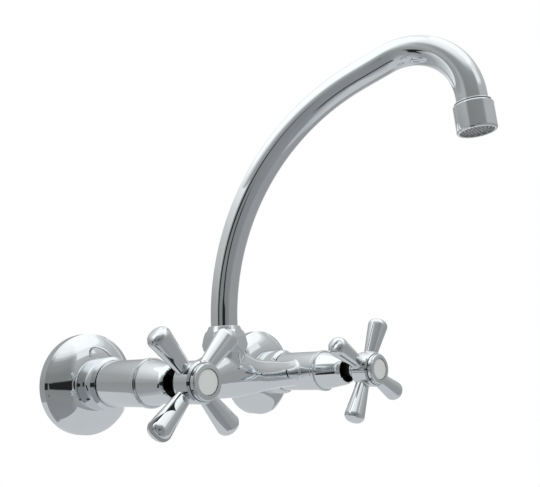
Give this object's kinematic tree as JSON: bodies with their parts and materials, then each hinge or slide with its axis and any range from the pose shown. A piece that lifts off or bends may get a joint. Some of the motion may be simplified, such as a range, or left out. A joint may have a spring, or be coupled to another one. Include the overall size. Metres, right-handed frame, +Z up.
{
  "type": "wall-mounted mixer tap",
  "caption": "Chrome mixer tap for a wall, with cross handles and a tall swivelling swan-neck spout over a tapered hexagon nut.",
  "frame": {"origin": "in the finished wall plane, midway between the two water inlets", "axes": "+X along the wall to the right as seen from the room, +Y into the wall, +Z up"},
  "size_m": [0.2153, 0.2527, 0.2278],
  "materials": {
    "body_chrome": "polished chrome plate on the brass casting",
    "flange_chrome": "polished chrome plate on spun brass",
    "nut_chrome": "polished chrome plate",
    "shroud_chrome": "polished chrome plate",
    "handle_chrome": "polished chrome plate, softly rounded",
    "cap_chrome": "polished chrome plate",
    "tube_chrome": "polished chrome plate on drawn tube",
    "raw_brass": "turned brass, unplated",
    "stainless": "stainless steel",
    "seal_rubber": "matt black rubber",
    "fibre": "red-brown vulcanised fibre",
    "white_plastic": "plain white acetal",
    "white_disc": "bare off-white enamel"
  },
  "bodies": {
    "tap_body": {"mixer_body": "body_chrome", "spout_nut": "nut_chrome", "slip_ring": "white_plastic", "left_wall_flange": "flange_chrome", "left_inlet_union": "raw_brass", "left_inlet_washer": "fibre", "left_clamp_ring": "raw_brass", "left_union_nut": "nut_chrome", "left_bonnet": "raw_brass", "left_bonnet_washer": "fibre", "left_packing": "seal_rubber", "left_gland_nut": "raw_brass", "left_shroud": "shroud_chrome", "right_wall_flange": "flange_chrome", "right_inlet_union": "raw_brass", "right_inlet_washer": "fibre", "right_clamp_ring": "raw_brass", "right_union_nut": "nut_chrome", "right_bonnet": "raw_brass", "right_bonnet_washer": "fibre", "right_packing": "seal_rubber", "right_gland_nut": "raw_brass", "right_shroud": "shroud_chrome"},
    "spout": {"spout_tube": "tube_chrome", "spout_bush": "raw_brass", "lower_o_ring": "seal_rubber", "upper_o_ring": "seal_rubber", "aerator_ferrule": "nut_chrome", "aerator_housing": "nut_chrome", "aerator_washer": "seal_rubber", "aerator_insert": "white_plastic", "aerator_screen": "stainless"},
    "left_valve": {"left_jumper": "raw_brass", "left_valve_washer": "seal_rubber", "left_washer_screw": "stainless"},
    "left_control": {"left_handle": "handle_chrome", "left_spindle": "raw_brass", "left_handle_screw": "stainless", "left_index_cap": "cap_chrome", "left_index_disc": "white_disc"},
    "right_valve": {"right_jumper": "raw_brass", "right_valve_washer": "seal_rubber", "right_washer_screw": "stainless"},
    "right_control": {"right_handle": "handle_chrome", "right_spindle": "raw_brass", "right_handle_screw": "stainless", "right_index_cap": "cap_chrome", "right_index_disc": "white_disc"}
  },
  "joints": [
    {"name": "spout_swivel", "type": "hinge", "parent": "tap_body", "child": "spout", "pos_m": [0, -0.0494, 0.0332], "axis": [0, 0, 1], "range_deg": [-110, 90]},
    {"name": "left_valve_lift", "type": "slide", "parent": "tap_body", "child": "left_valve", "axis": [0, -1, 0], "range_m": [0, 0.004]},
    {"name": "left_handle_turn", "type": "hinge", "parent": "left_valve", "child": "left_control", "pos_m": [-0.075, -0.1, 0], "axis": [0, -1, 0], "range_deg": [0, 720]},
    {"name": "right_valve_lift", "type": "slide", "parent": "tap_body", "child": "right_valve", "axis": [0, -1, 0], "range_m": [0, 0.004]},
    {"name": "right_handle_turn", "type": "hinge", "parent": "right_valve", "child": "right_control", "pos_m": [0.075, -0.1, 0], "axis": [0, -1, 0], "range_deg": [0, 720]}
  ],
  "couplings": [
    {"joint": "left_valve_lift", "follows": "left_handle_turn", "m_per_rad": 0.000318},
    {"joint": "right_valve_lift", "follows": "right_handle_turn", "m_per_rad": 0.000318}
  ]
}
